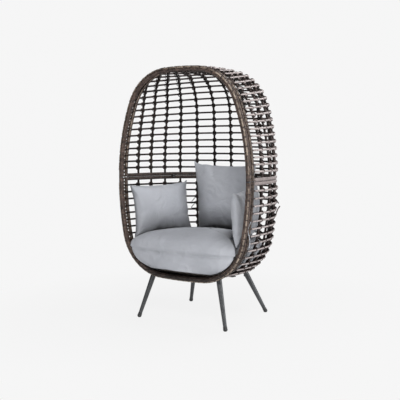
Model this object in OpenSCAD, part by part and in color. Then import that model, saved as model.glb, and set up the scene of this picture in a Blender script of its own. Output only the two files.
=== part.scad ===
// Rattan cocoon chair: an open woven shell in two halves on four splayed legs, with loose cushions.
// Front faces -Y, up is +Z, and the origin is on the floor under the middle of the whole chair.

/* [Front rim] */
// Overall width of the shell, over the wrapped front rim
shell_w = 920; // [860:10:980]
// Height of the seam where the upper half sits on the lower half
seam_z = 850; // [820:5:880]
// Radius of the rim's sides above the seam
rim_side_r = 1270; // [1200:10:1340]
// Turn of the rim's sides above the seam, in degrees
rim_side_turn = 21; // [19:0.5:22]
// Radius of the rim's shoulders
shoulder_r = 300; // [270:5:320]
// Radius of the rim's sides below the seam
rim_low_r = 1850; // [1700:10:2000]
// Turn of the rim's sides below the seam, in degrees
rim_low_turn = 10.8; // [10:0.1:11.4]
// Radius of the rim's lower corners
corner_r = 302; // [290:2:316]
// Radius of the wrapped front rim
rim_r = 15; // [13:0.5:17]
// Radius of the steel tube inside the rim's wrap
rim_core_r = 11; // [10:0.5:12]
// Wall of the steel tubes
tube_wall = 1.5; // [1:0.1:2]
// Radius of the second hoop, behind the rim
hoop_r = 10; // [8:0.5:12]
// Distance from the rim back to the second hoop
hoop_back = 46; // [40:1:54]
// Gap left between the two halves at the seam
seam_gap = 2; // [1:0.5:4]

/* [Shell] */
// Depth of the shell from the rim's plane to the back ribs
shell_d = 665; // [620:5:700]
// Drop of the seam from the rim to the back
seam_drop = 10; // [0:1:20]
// Radius of the back wall above the seam, seen from the side
back_r = 3800; // [3400:50:4400]
// Turn of the back wall above the seam, in degrees
back_turn = 6.2; // [5.8:0.1:6.6]
// Radius where the back turns over into the crown
crown_r = 260; // [230:5:280]
// Radius of the back wall below the seam, seen from the side
back_low_r = 20000; // [15000:500:25000]
// Turn of the back wall below the seam, in degrees
back_low_turn = 1.05; // [0.9:0.05:1.15]
// Radius where the back turns under into the base
under_r = 235; // [220:5:250]
// How square the shell is in plan: 2 is an ellipse
squareness = 2.65; // [2.3:0.05:3]

/* [Wicker] */
// Radius of an upright rib
rib_r = 6.5; // [5.5:0.25:7.5]
// Number of upright ribs on each side of the back's middle line
ribs_per_side = 7; // [5:1:8]
// Radius of a cross strand
strand_r = 4.75; // [4:0.25:5.5]
// Number of cross strands above the seam
upper_rows = 21; // [18:1:22]
// Number of those strands that cross the back wall, below the crown
wall_rows = 16; // [14:1:17]
// Number of cross strands below the seam
lower_rows = 13; // [11:1:14]
// Distance from the seam to the first strand, along the rim
first_rim = 56; // [50:1:62]
// Distance from the seam to the first strand, along the back
first_back = 54; // [50:1:60]
// Strand spacing up the rim
rim_pitch = 38.5; // [36:0.5:39]
// Strand spacing up the back wall
back_pitch = 45.5; // [43:0.5:47]
// Strand spacing down the rim
rim_low_pitch = 42.5; // [40:0.5:44]
// Turn at which the back ends on the base ring, in degrees
ring_turn = 63; // [58:1:66]
// Radius of the two seam rails
rail_r = 10; // [8:0.5:11]
// Radius of the base ring
ring_r = 9; // [8:0.5:10]

/* [Base] */
// Thickness of the woven seat deck and of its front apron
deck_t = 8; // [6:0.5:10]
// Width of the flat bars under the base ring
bar_w = 40; // [30:1:50]
// Thickness of the flat bars
bar_t = 5; // [4:0.5:6]
// Distance of the front bar behind the rim
bar_front = 150; // [130:5:170]

/* [Legs] */
// Radius of a leg where it leaves its socket
leg_top_r = 16; // [14:0.5:17]
// Radius of a leg at its foot
leg_foot_r = 11; // [9.5:0.5:12]
// Distance of the front feet from the middle
front_foot_x = 306; // [280:2:330]
// Distance of the front feet behind the rim's plane
front_foot_y = -10; // [-20:2:20]
// Distance of the rear feet from the middle
rear_foot_x = 280; // [260:2:300]
// Distance of the rear feet behind the rim's plane
rear_foot_y = 520; // [500:5:550]
// Angle round the rim's corner at which the front legs meet the second hoop
front_leg_turn = 70.5; // [68:0.5:73]
// Angle round the base ring at which the rear legs stand
rear_leg_turn = 48; // [45:1:51]
// Distance of the rear legs inside the base ring
rear_leg_in = 15; // [10:1:20]
// Depth of a leg's spigot in its socket
socket_depth = 26; // [22:1:30]
// Radius of the leg screws
leg_screw_r = 3; // [2.5:0.25:3.5]
// Radius of the rounded foot caps
foot_r = 13; // [12:0.5:15]

/* [Fasteners] */
// Radius of the seam bolts
seam_bolt_r = 3; // [2.5:0.25:3.5]
// Clearance round bolts and screws in their holes
hole_clearance = 0.25; // [0.1:0.05:0.4]
// Thickness of the seam tabs
tab_t = 3; // [2:0.5:4]

/* [Seat cushion] */
// Height of the seat cushion's boxed edge
seat_edge_h = 124; // [110:2:130]
// Height of the crown above the edge
seat_crown = 122; // [90:2:130]
// Overhang of the seat cushion's front corners in front of the rim's plane
seat_corner_out = 30; // [20:1:36]
// Overhang of the middle of the seat cushion's front
seat_overhang = 62; // [45:1:70]
// Clearance between the seat cushion and the rim
seat_side_gap = 4; // [3:0.5:8]
// Clearance between the seat cushion and the ribs of the back
seat_back_gap = 12; // [8:1:16]

/* [Pillows] */
// Width of the back pillow
back_pillow_w = 470; // [420:10:480]
// Height of the back pillow
back_pillow_h = 455; // [430:5:480]
// Thickness of the back pillow
back_pillow_t = 150; // [120:5:160]
// Width of a side pillow
side_pillow_w = 465; // [420:5:470]
// Height of the left pillow
left_pillow_h = 336; // [320:2:350]
// Height of the right pillow
right_pillow_h = 312; // [300:2:340]
// Thickness of a side pillow
side_pillow_t = 112; // [100:2:120]
// How far a pillow's sides draw in between its corners, as a share of its half width
draw_in = 0.07; // [0.04:0.01:0.09]
// How much narrower the back pillow is at its foot, as a share of its width
back_pillow_taper = 0.12; // [0.08:0.01:0.16]

/* [Hidden] */
$fn = 48;

// Gap that separates pieces which touch in the real chair
seat_gap = 0.3;
// Angles at which the rim's shoulders, its lower corners and the crown's turn end
shoulder_end = 86;
corner_end = 87;
crown_end = 87.5;
// How strongly the ribs draw together as the shell narrows above the seam: 0 keeps them apart
rib_gather = 0.75;
// Steps along a quarter of a plan curve, for measuring lengths
plan_steps = 24;
// Sides of the swept pieces
rib_sides = 6;
strand_sides = 4;
rail_sides = 8;

// How far the strands' middle lies outside the ribs' middle
strand_off = rib_r + strand_r + seat_gap;
// The chair's reach in front of and behind the rim's plane, and where that puts the plane
reach_front = seat_overhang;
reach_back = shell_d + strand_off + strand_r;
rim_y = -(reach_back - reach_front) / 2;
// Depth at which strands, ribs and rails end, just behind the second hoop
lattice_y = hoop_back + hoop_r + seat_gap;

// A profile is a list of arcs [centre, radius, start angle, end angle], each tangent to the last.
// It runs from the seam, at half width a, to the middle line, and side is 1 above the seam, -1 below.
function profile(a, z, r1, turn1, r2, turn2, side) =
    let (
        c1 = [a - r1, z],
        e1 = c1 + r1 * [cos(turn1), side * sin(turn1)],
        c2 = e1 - r2 * [cos(turn1), side * sin(turn1)],
        e2 = c2 + r2 * [cos(turn2), side * sin(turn2)],
        r3 = e2[0] / cos(turn2),
        c3 = [0, e2[1] - side * r3 * sin(turn2)]
    )
    [[c1, r1, 0, side * turn1], [c2, r2, side * turn1, side * turn2], [c3, r3, side * turn2, side * 90]];

function arc_len(a) = abs(a[3] - a[2]) * PI / 180 * a[1];
function path_len(p) = arc_len(p[0]) + arc_len(p[1]) + arc_len(p[2]);
function path_at(p, s, off = 0, i = 0) =
    (s <= arc_len(p[i]) || i == len(p) - 1)
    ? let (ang = p[i][2] + (p[i][3] - p[i][2]) * s / arc_len(p[i]))
      p[i][0] + (p[i][1] + off) * [cos(ang), sin(ang)]
    : path_at(p, s - arc_len(p[i]), off, i + 1);

// The rim's middle line above and below the seam, in X and Z
rim_up = profile(shell_w / 2 - rim_r, seam_z, rim_side_r - rim_r, rim_side_turn,
                 shoulder_r - rim_r, shoulder_end, 1);
rim_low = profile(shell_w / 2 - rim_r, seam_z, rim_low_r - rim_r, rim_low_turn,
                  corner_r - rim_r, corner_end, -1);
// The back's middle line above and below the seam, in Y and Z
back_z = seam_z - seam_drop;
back_up = profile(shell_d, back_z, back_r, back_turn, crown_r, crown_end, 1);
back_low = profile(shell_d, back_z, back_low_r, back_low_turn, under_r, crown_end, -1);

// A level is one planar loop round the shell: [half width, its height, depth, its height].
function level(rim, back, s_rim, s_back, off = 0) =
    let (f = path_at(rim, s_rim, off), b = path_at(back, s_back, off)) [f[0], f[1], b[0], b[1]];

crown_start = first_back + back_pitch * (wall_rows - 1);
crown_pitch = (path_len(back_up) - crown_start) / (upper_rows - wall_rows + 1.5);
function up_rim_s(k) = first_rim + rim_pitch * k;
function up_back_s(k) =
    k < wall_rows ? first_back + back_pitch * k : crown_start + crown_pitch * (k - wall_rows + 1);
ring_s = arc_len(back_low[0]) + under_r * (ring_turn - back_low_turn) * PI / 180;
low_back_pitch = (ring_s - first_back) / lower_rows;
low_first_rim = 50;
function low_rim_s(k) = low_first_rim + rim_low_pitch * k;
function low_back_s(k) = first_back + low_back_pitch * k;

// Ribs start on top of the seam rails
rail_z = seam_gap / 2 + rail_r;
rail_edge = rail_z + rail_r + seat_gap;
function up_level(k, off = 0) =
    k < 0 ? level(rim_up, back_up, rail_edge, rail_edge, off)
          : level(rim_up, back_up, up_rim_s(k), up_back_s(k), off);
function low_level(k, off = 0) =
    k < 0 ? level(rim_low, back_low, rail_edge, rail_edge, off)
          : level(rim_low, back_low, low_rim_s(k), low_back_s(k), off);
seam_level = [shell_w / 2 - rim_r, seam_z, shell_d, back_z];
ring_level = low_level(lower_rows);

// A point of a level, at angle t round its plan: 0 is the right end of the loop and 90 the back's middle
function on_level(v, t) =
    let (
        c = cos(t),
        s = sin(t),
        r = pow(pow(abs(c), squareness) + pow(abs(s), squareness), -1 / squareness),
        y = v[2] * s * r
    )
    [v[0] * c * r, y, v[1] + (v[3] - v[1]) * y / v[2]];

// Length round a level from the back's middle, against the angle
function quarter(v) = [for (i = [0:plan_steps]) on_level(v, 90 - 90 * i / plan_steps)];
function sums(p) =
    [for (i = 0, d = 0; i < len(p); d = d + (i < len(p) - 1 ? norm(p[i + 1] - p[i]) : 0), i = i + 1) d];
function angle_by_length(v) =
    let (d = sums(quarter(v))) [for (i = [0:plan_steps]) [d[i], 90 - 90 * i / plan_steps]];
function half_len(v) = let (d = sums(quarter(v))) d[plan_steps];
// The angle at which a level reaches the second hoop
function end_angle(v) =
    let (q = quarter(v)) lookup(lattice_y, [for (i = [plan_steps:-1:0]) [q[i][1], 90 - 90 * i / plan_steps]]);

seam_half = half_len(seam_level);
rib_pitch = (seam_half - hoop_back) / (ribs_per_side + 0.5);
// The angle of rib j on a level: ribs gather by a power of the level's length
function rib_angle(v, j, gather) =
    lookup(rib_pitch * (j + 0.5) * pow(half_len(v) / seam_half, gather), angle_by_length(v));

// Sweeping a tube with flat sides along points, one corner facing away from the shell's middle
hub = [0, shell_d * 0.45, seam_z];
function unit(v) = v / norm(v);
function tangents(p) =
    [for (i = [0:len(p) - 1]) unit(p[min(i + 1, len(p) - 1)] - p[max(i - 1, 0)])];
function outward(p, t) = let (r = p - hub) unit(r - (r * t) * t);
module sweep(p, r, n) {
    m = len(p);
    t = tangents(p);
    points = [
        for (i = [0:m - 1])
            let (a = outward(p[i], t[i]), b = cross(t[i], a))
            for (j = [0:n - 1]) p[i] + r * (cos(360 * j / n) * a + sin(360 * j / n) * b)
    ];
    faces = [
        [for (j = [0:n - 1]) j],
        [for (j = [n - 1:-1:0]) (m - 1) * n + j],
        for (i = [0:m - 2])
            for (j = [0:n - 1])
                each [
                    [i * n + j, (i + 1) * n + j, (i + 1) * n + (j + 1) % n],
                    [i * n + j, (i + 1) * n + (j + 1) % n, i * n + (j + 1) % n]
                ]
    ];
    polyhedron(points, faces);
}

module at_rim() translate([0, rim_y, 0]) children();

// One arc of a tube, from angle a0 to a1 less a length cut off each end
module tube_arc(arc, a0, a1, cut0, cut1, r, bore) {
    b0 = a0 + cut0 / arc[1] * 180 / PI;
    b1 = a1 - cut1 / arc[1] * 180 / PI;
    translate([arc[0][0], 0, arc[0][1]])
        rotate([90, 0, 0])
            rotate([0, 0, b0])
                rotate_extrude(angle = b1 - b0, $fn = 96)
                    translate([arc[1], 0])
                        difference() {
                            circle(r, $fn = 32);
                            if (bore > 0) circle(bore, $fn = 32);
                        }
}
// A binding round the place where two arcs meet, which joins them into one piece
module binding(arc, ang, r, bore) {
    translate([arc[0][0], 0, arc[0][1]])
        rotate([0, -ang, 0])
            translate([arc[1], 0, 0])
                difference() {
                    cylinder(r = r + binding_h, h = binding_l, center = true, $fn = 32);
                    if (bore > 0) cylinder(r = bore + binding_h, h = binding_l + 2, center = true, $fn = 32);
                }
}
// A tube along a profile, on both sides of the middle line, at depth y
binding_l = 8;
binding_h = 0.35;
arc_cut = 1;
module profile_tube(p, y, r, bore = 0, start = 0) {
    up = p[0][3] > 0;
    translate([0, y, 0]) {
        for (m = [0, 1])
            mirror([m, 0, 0])
                for (i = [0, 1]) {
                    c0 = i == 0 ? start : arc_cut;
                    if (up) tube_arc(p[i], p[i][2], p[i][3], c0, arc_cut, r, bore);
                    else tube_arc(p[i], p[i][3], p[i][2], arc_cut, c0, r, bore);
                    binding(p[i], p[i][3], r, bore);
                }
        mid = p[2];
        if (up) tube_arc(mid, mid[2], 180 - mid[2], arc_cut, arc_cut, r, bore);
        else tube_arc(mid, -180 - mid[2], mid[2], arc_cut, arc_cut, r, bore);
    }
}

// Holes for the screws that lock the rim's spigots
screw_r = 2;
screw_z = 18;
module rim_screw_holes(r) {
    for (x = [-1, 1], z = [-1, 1])
        translate([x * (shell_w / 2 - rim_r), 0, seam_z + z * screw_z])
            rotate([-90, 0, 0]) cylinder(r = r, h = rim_r * 2);
}

module rim_tube(p) {
    color("dimgray")
        at_rim()
            difference() {
                profile_tube(p, 0, rim_core_r, rim_core_r - tube_wall, seam_gap / 2);
                rim_screw_holes(screw_r + hole_clearance);
            }
}

module rim_wrap(p) {
    color("#6b5f58")
        at_rim()
            difference() {
                profile_tube(p, 0, rim_r, rim_core_r + binding_h + seat_gap, seam_gap / 2);
                rim_screw_holes(screw_r + hole_clearance);
            }
}

module hoop(p) {
    color("#5c514b") at_rim() profile_tube(p, hoop_back, hoop_r, 0, seam_gap / 2);
}

// Ties between the rim and the second hoop, one at each strand and on round the bottom
tie_r = 4;
module rim_ties(p, first, pitch, count) {
    color("#4a403b")
        at_rim()
            for (k = [0:count - 1], m = [-1, 1]) {
                q = path_at(p, first + pitch * k);
                if (norm([q[0], q[1]] - [front_joint[0], front_joint[2]]) > leg_top_r + 2 * tie_r)
                    translate([m * q[0], rim_r + seat_gap, q[1]])
                        rotate([-90, 0, 0])
                            cylinder(r = tie_r, h = hoop_back - hoop_r - rim_r - 2 * seat_gap, $fn = 24);
            }
}

// The plane of the seam drops to the back, and side is 1 above it and -1 below
seam_tilt = atan(seam_drop / shell_d);
rail_steps = 36;
module seam_rail(side) {
    e = end_angle(seam_level);
    color("#5c514b")
        at_rim()
            sweep([
                for (i = [0:rail_steps])
                    on_level(seam_level, e + (180 - 2 * e) * i / rail_steps) + [0, 0, side * rail_z]
            ], rail_r, rail_sides);
}

module ribs_of(levels, gather) {
    color("#2f2926")
        at_rim()
            for (j = [0:ribs_per_side - 1], m = [0, 1])
                mirror([m, 0, 0]) {
                    p = [for (v = levels) on_level(v, rib_angle(v, j, gather))];
                    inside = [for (q = p) if (q[1] > lattice_y + 2 * rib_r) q];
                    cut = len(inside) < len(p) ? [meet_hoop(inside[len(inside) - 1], p[len(inside)])] : [];
                    sweep(concat(inside, cut), rib_r, rib_sides);
                }
}
// The point between a and b at which a rib reaches the second hoop
function meet_hoop(a, b) =
    a + (b - a) * (a[1] - lattice_y - rib_r) / max(a[1] - b[1], rib_r);

module strands_of(levels, outer, gather) {
    color("#8d837c")
        at_rim()
            for (k = [0:len(levels) - 1]) {
                v = levels[k];
                e = end_angle(v);
                at_ribs = [for (j = [ribs_per_side - 1:-1:0]) rib_angle(v, j, gather)];
                kept = [for (a = at_ribs) if (a > e + 3) a];
                stops = concat([e], kept, [90]);
                half = [for (i = [0:len(stops) - 2]) each [stops[i], (stops[i] + stops[i + 1]) / 2]];
                right = concat(half, [90]);
                left = [for (i = [len(half) - 1:-1:0]) 180 - half[i]];
                sweep([for (a = concat(right, left)) on_level(outer[k], a)], strand_r, strand_sides);
            }
}

upper_levels = [for (k = [0:upper_rows - 1]) up_level(k)];
upper_outer = [for (k = [0:upper_rows - 1]) up_level(k, strand_off)];
lower_levels = [for (k = [0:lower_rows - 1]) low_level(k)];
lower_outer = [for (k = [0:lower_rows - 1]) low_level(k, strand_off)];
// Ribs bend at every strand, or every other one where the walls are nearly straight
upper_stops = concat([up_level(-1), up_level(1)], [for (k = [3:upper_rows - 1]) up_level(k)],
                     [up_level(upper_rows - 0.2), up_level(upper_rows + 0.3)]);
ring_short = level(rim_low, back_low, low_rim_s(lower_rows) - ring_r - rib_r,
                   low_back_s(lower_rows) - ring_r - rib_r);
lower_stops = concat([low_level(-1)], [for (k = [1, 3]) low_level(k)],
                     [for (k = [5:lower_rows - 1]) low_level(k)], [ring_short]);

// Seam tabs are welded inside the rails and bolted together, in the plane of the seam
tab_l = 24;
tab_w = 18;
tab_angles = [38, 72, 108, 142];
module in_seam() translate([0, rim_y, seam_z]) rotate([-seam_tilt, 0, 0]) children();
module at_tabs() {
    for (t = tab_angles) {
        p = on_level(seam_level, t);
        q = on_level(seam_level, t + 1);
        translate([p[0], p[1] / cos(seam_tilt), 0])
            rotate([0, 0, atan2(q[1] - p[1], q[0] - p[0]) + 90]) children();
    }
}
// A tab's outer edge clears the round underside of its rail
tab_out = sqrt(pow(rail_r, 2) - pow(rail_z - tab_t, 2)) + seat_gap;
bolt_in = tab_out + tab_l - 9;
module seam_tabs(side) {
    color("#3a3a3a")
        in_seam()
            at_tabs()
                difference() {
                    translate([tab_out, -tab_w / 2, side > 0 ? 0 : -tab_t]) cube([tab_l, tab_w, tab_t]);
                    translate([bolt_in, 0, -2 * tab_t])
                        cylinder(r = seam_bolt_r + hole_clearance, h = 4 * tab_t);
                }
}
nut_h = 5;
washer_gap = 0.05;
module seam_bolts() {
    color("silver")
        in_seam()
            at_tabs()
                translate([bolt_in, 0, 0]) {
                    translate([0, 0, tab_t]) cylinder(r = seam_bolt_r * 1.85, h = 4, $fn = 6);
                    translate([0, 0, -tab_t - nut_h - 2]) cylinder(r = seam_bolt_r, h = 2 * tab_t + nut_h + 2);
                }
}
module seam_nuts() {
    color("silver")
        in_seam()
            at_tabs()
                translate([bolt_in, 0, -tab_t - nut_h])
                    difference() {
                        cylinder(r = seam_bolt_r * 1.85, h = nut_h, $fn = 6);
                        translate([0, 0, -1]) cylinder(r = seam_bolt_r + washer_gap, h = nut_h + 2);
                    }
}

// Spigots join the two halves' rim tubes
spigot_r = rim_core_r - tube_wall - 0.5;
spigot_l = 64;
module rim_spigots() {
    color("silver")
        at_rim()
            for (x = [-1, 1])
                difference() {
                    translate([x * (shell_w / 2 - rim_r), 0, seam_z - spigot_l / 2])
                        cylinder(r = spigot_r, h = spigot_l);
                    rim_screw_holes(screw_r + hole_clearance);
                }
}
module rim_screws() {
    color("silver")
        at_rim()
            for (x = [-1, 1], z = [-1, 1])
                translate([x * (shell_w / 2 - rim_r), 0, seam_z + z * screw_z])
                    rotate([-90, 0, 0]) {
                        translate([0, 0, 1]) cylinder(r = screw_r, h = rim_r + 1);
                        translate([0, 0, rim_r + seat_gap]) cylinder(r = screw_r * 2, h = 2);
                    }
}

// The base ring lies in a plane that drops to the back, and the deck and the bars follow it
base_tilt = atan((ring_level[1] - ring_level[3]) / ring_level[2]);
module in_base() translate([0, rim_y, ring_level[1]]) rotate([-base_tilt, 0, 0]) children();
ring_steps = 28;
module base_ring() {
    e = end_angle(ring_level);
    color("#5c514b")
        at_rim()
            sweep([for (i = [0:ring_steps]) on_level(ring_level, e + (180 - 2 * e) * i / ring_steps)],
                  ring_r, rail_sides);
}
function base_point(v, t) = let (p = on_level(v, t)) [p[0], p[1] / cos(base_tilt)];
deck_inset = ring_r + 0.5;
deck_level = [ring_level[0] - deck_inset, ring_level[1], ring_level[2] - deck_inset, ring_level[3]];
module seat_deck() {
    e = end_angle(deck_level);
    color("#3b322e")
        in_base()
            translate([0, 0, -deck_t / 2])
                linear_extrude(deck_t)
                    polygon([for (i = [0:32]) base_point(deck_level, e + (180 - 2 * e) * i / 32)]);
}

// The apron closes the gap between the deck and the bottom of the second hoop
apron_top = ring_level[1] - 2;
apron_edge = hoop_r + seat_gap;
apron_y = lattice_y - deck_t + 1;
function apron_rim(p) = [for (i = [0:12]) path_at(p, lerp_to_apron(i / 12), -apron_edge)];
// Lengths along the rim from where the apron's top meets it to the middle line
apron_start = arc_len(rim_low[0]) + (asin((rim_low[1][0][1] - apron_top) / (rim_low[1][1] - apron_edge))
              - rim_low_turn) * PI / 180 * rim_low[1][1];
function lerp_to_apron(f) = apron_start + (path_len(rim_low) - apron_start) * f;
module front_apron() {
    right = apron_rim(rim_low);
    left = [for (i = [11:-1:0]) [-right[i][0], right[i][1]]];
    color("#3b322e")
        at_rim()
            translate([0, apron_y + deck_t - 2, 0])
                rotate([90, 0, 0]) linear_extrude(deck_t - 2) polygon(concat(right, left));
}

// Flat bars across the base, just under the ring
function ring_x(y) =
    ring_level[0] * pow(max(1 - pow(y / ring_level[2], squareness), 0), 1 / squareness);
module base_bar(y, half) {
    color("#3a3a3a")
        in_base()
            translate([-half, y / cos(base_tilt) - bar_w / 2, -ring_r - seat_gap - bar_t])
                cube([2 * half, bar_w, bar_t]);
}
rear_level = [ring_level[0] - rear_leg_in, ring_level[1], ring_level[2] - rear_leg_in, ring_level[3]];
rear_joint = on_level(rear_level, rear_leg_turn);
module front_bar() base_bar(bar_front, ring_x(bar_front + bar_w / 2) + ring_r);
module rear_bar() base_bar(rear_joint[1], rear_joint[0] + bar_w / 2);

// Legs run from the floor to a joint: the second hoop in front, and the rear bar behind
front_joint = let (c = rim_low[1])
    [c[0][0] + c[1] * cos(front_leg_turn), hoop_back, c[0][1] - c[1] * sin(front_leg_turn)];
foot_h = foot_r - 3;
collar_h = 16;
socket_r = leg_top_r;
bore_clearance = 0.2;
legs = [
    [[front_foot_x, front_foot_y, foot_h], front_joint],
    [[rear_foot_x, rear_foot_y, foot_h], rear_joint]
];
function leg_len(i) = norm(legs[i][1] - legs[i][0]);
// Distance from the joint down to the mouth of the socket; the rear ones end under their bar
bar_drop = ring_r + bar_t;
function socket_l(i) = socket_depth + (i == 0 ? 12 : bar_drop + 8);
module on_leg(i, m) {
    d = legs[i][1] - legs[i][0];
    at_rim()
        mirror([m, 0, 0])
            translate(legs[i][0])
                rotate([0, acos(d[2] / norm(d)), atan2(d[1], d[0])]) children();
}
screw_at = socket_depth / 2;
module socket_body(i, m) {
    on_leg(i, m)
        difference() {
            translate([0, 0, leg_len(i) - socket_l(i)]) cylinder(r = socket_r, h = socket_l(i) + (i == 0 ? 0 : 20));
            translate([0, 0, leg_len(i) - socket_l(i) - 1])
                cylinder(r = leg_top_r - 3 + bore_clearance, h = socket_depth + 1.5);
            translate([0, 0, leg_len(i) - socket_l(i) + screw_at])
                rotate([0, 90, 0]) cylinder(r = leg_screw_r + hole_clearance, h = 60, center = true);
        }
}
module leg_sockets() {
    color("#3a3a3a")
        for (m = [0, 1]) {
            difference() {
                socket_body(0, m);
                at_rim() profile_tube(rim_low, hoop_back, hoop_r + 0.1);
            }
            difference() {
                socket_body(1, m);
                in_base() translate([-500, 0, -ring_r - seat_gap - bar_t]) cube([1000, 800, 200]);
            }
        }
}
module leg_screws() {
    color("silver")
        for (m = [0, 1], i = [0, 1])
            on_leg(i, m)
                translate([0, 0, leg_len(i) - socket_l(i) + screw_at])
                    rotate([0, 90, 0]) {
                        translate([0, 0, -leg_top_r + 1]) cylinder(r = leg_screw_r, h = 2 * leg_top_r);
                        translate([0, 0, socket_r + seat_gap]) cylinder(r = leg_screw_r * 1.7, h = 3);
                    }
}
module leg(i, m) {
    top = leg_len(i) - socket_l(i);
    wall = tube_wall;
    color("#3d4043")
        on_leg(i, m)
            difference() {
                union() {
                    translate([0, 0, collar_h])
                        cylinder(r1 = leg_foot_r, r2 = leg_top_r, h = top - collar_h - seat_gap);
                    translate([0, 0, top - seat_gap - 1]) cylinder(r = leg_top_r - 3, h = socket_depth);
                }
                translate([0, 0, collar_h - 1])
                    cylinder(r = leg_foot_r - wall, h = top + socket_depth);
                translate([0, 0, top + screw_at])
                    rotate([0, 90, 0]) cylinder(r = leg_screw_r + hole_clearance, h = 60, center = true);
            }
}
module foot(i, m) {
    color("#1d1d1f")
        difference() {
            on_leg(i, m)
                union() {
                    sphere(r = foot_r);
                    cylinder(r = leg_foot_r + 1, h = collar_h - seat_gap);
                    cylinder(r = leg_foot_r - tube_wall - bore_clearance, h = collar_h + 18);
                }
            translate([-500, -700, -100]) cube([1000, 1400, 100]);
        }
}

// A closed skin over rings of points, from one end point through rings of equal length to another
module skin(first, rings, last) {
    n = len(rings[0]);
    m = len(rings);
    points = concat([first], [for (r = rings) each r], [last]);
    faces = concat(
        [for (j = [0:n - 1]) [0, 1 + j, 1 + (j + 1) % n]],
        [
            for (i = [0:m - 2], j = [0:n - 1])
                each [
                    [1 + i * n + j, 1 + (i + 1) * n + j, 1 + (i + 1) * n + (j + 1) % n],
                    [1 + i * n + j, 1 + (i + 1) * n + (j + 1) % n, 1 + i * n + (j + 1) % n]
                ]
        ],
        [for (j = [0:n - 1]) [len(points) - 1, 1 + (m - 1) * n + (j + 1) % n, 1 + (m - 1) * n + j]]
    );
    polyhedron(points, faces);
}

// Seat cushion, drawn in the plane of the deck: its edge follows the bowl, and its top is crowned
seat_steps = 56;
seat_base = deck_t / 2 + seat_gap;
seat_mid_y = shell_d * 0.4;
front_square = 16;
// How far the front corners spread over the rim, ahead of it
front_flare = 18;
// Half width of the rim's opening at height z, less the clearance
function opening_x(z) =
    let (c = rim_low[1], r = c[1] - rim_r - seat_side_gap, h = (c[0][1] - z) / r)
    h < 0 ? shell_w / 2 - 2 * rim_r - seat_side_gap : c[0][0] + r * sqrt(max(1 - h * h, 0.02));
function world_z(y, n) = ring_level[1] + n * cos(base_tilt) - y * sin(base_tilt);
// Depth of the ribs at height z, less the clearance
function bowl_y(z) =
    let (c = back_low[1], h = max((c[0][1] - z) / c[1], 0))
    c[0][0] + c[1] * sqrt(max(1 - h * h, 0.02)) - rib_r - seat_back_gap;
// One ring of the edge: n is the height over the deck, and in is how far the ring draws in
function seat_ring(n, in) =
    [
        for (i = [0:seat_steps - 1])
            let (
                t = 360 * i / seat_steps,
                c = cos(t),
                s = sin(t),
                q = s > 0 ? squareness : front_square,
                r = pow(pow(abs(c), q) + pow(abs(s), q), -1 / q),
                w = opening_x(world_z(0, n)) - in,
                back = bowl_y(world_z(ring_level[2], n)) - in,
                flare = front_flare * max(-s * r - 0.6, 0) / 0.4 * sign(c),
                bulge = (seat_overhang - seat_corner_out) * (1 - pow(c * r, 2)) * min(-s * r, 1),
                front = (seat_corner_out - in * 0.6) * s * r - bulge
            )
            [w * c * r + flare, s > 0 ? back * s * r : front, n]
    ];
// The seam round the cushion's top edge, and the crowned top over it
seat_seam = seat_ring(seat_base + seat_edge_h, 0);
function seat_top(f) =
    [
        for (p = seat_seam)
            [p[0] * f, seat_mid_y + (p[1] - seat_mid_y) * f, p[2] + crown_h(f)]
    ];
function crown_h(f) = seat_crown * pow(max(1 - f * f, 0), 0.38);
module seat_cushion() {
    edge = [
        for (h = [0, 0.06, 0.25, 0.5, 0.75, 0.94])
            seat_ring(seat_base + seat_edge_h * h, 5 + 35 * pow(1 - h, 6) - 20 * h * (1 - h))
    ];
    rings = concat(
        [[for (p = edge[0]) [p[0] * 0.5, seat_mid_y + (p[1] - seat_mid_y) * 0.5, seat_base]]],
        edge,
        [seat_seam],
        [for (f = [0.985, 0.95, 0.88, 0.76, 0.6, 0.4, 0.2]) seat_top(f)]
    );
    color("#b4b6ba")
        in_base()
            skin([0, seat_mid_y, seat_base], rings, [0, seat_mid_y, seat_base + seat_edge_h + seat_crown]);
}
// Height of the cushion's top over the floor, at a place measured from the rim's plane
seat_hub = [0, seat_mid_y];
seam_reach = [
    for (turn = [-1, 0, 1])
        each [
            for (i = [0:seat_steps - 1])
                let (p = [seat_seam[i][0], seat_seam[i][1]] - seat_hub, a = atan2(p[1], p[0]))
                [a + 360 * turn, norm(p)]
        ]
];
function sorted(v) =
    len(v) < 2 ? v
    : let (m = v[floor(len(v) / 2)][0])
      concat(sorted([for (p = v) if (p[0] < m) p]), [for (p = v) if (p[0] == m) p],
             sorted([for (p = v) if (p[0] > m) p]));
seam_table = sorted(seam_reach);
crown_table = [for (f = [0, 0.2, 0.4, 0.6, 0.76, 0.88, 0.95, 0.985, 1]) [f, crown_h(f)]];
function top_n(x, y) =
    let (p = [x, y] - seat_hub, f = norm(p) / lookup(atan2(p[1], p[0]), seam_table))
    f > 1 ? 0 : seat_base + seat_edge_h + lookup(f, crown_table);
function deck_y(y, n) = (y - n * sin(base_tilt)) / cos(base_tilt);
function seat_height(x, y) =
    let (
        y1 = deck_y(y, seat_edge_h + seat_crown),
        y2 = deck_y(y, top_n(x, y1)),
        y3 = deck_y(y, top_n(x, y2)),
        n = top_n(x, y3)
    )
    n == 0 ? 0 : world_z(y3, n);

// A pillow: two crowned faces that meet in a seam, with pointed corners and drawn-in sides
pillow_cells = 14;
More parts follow.
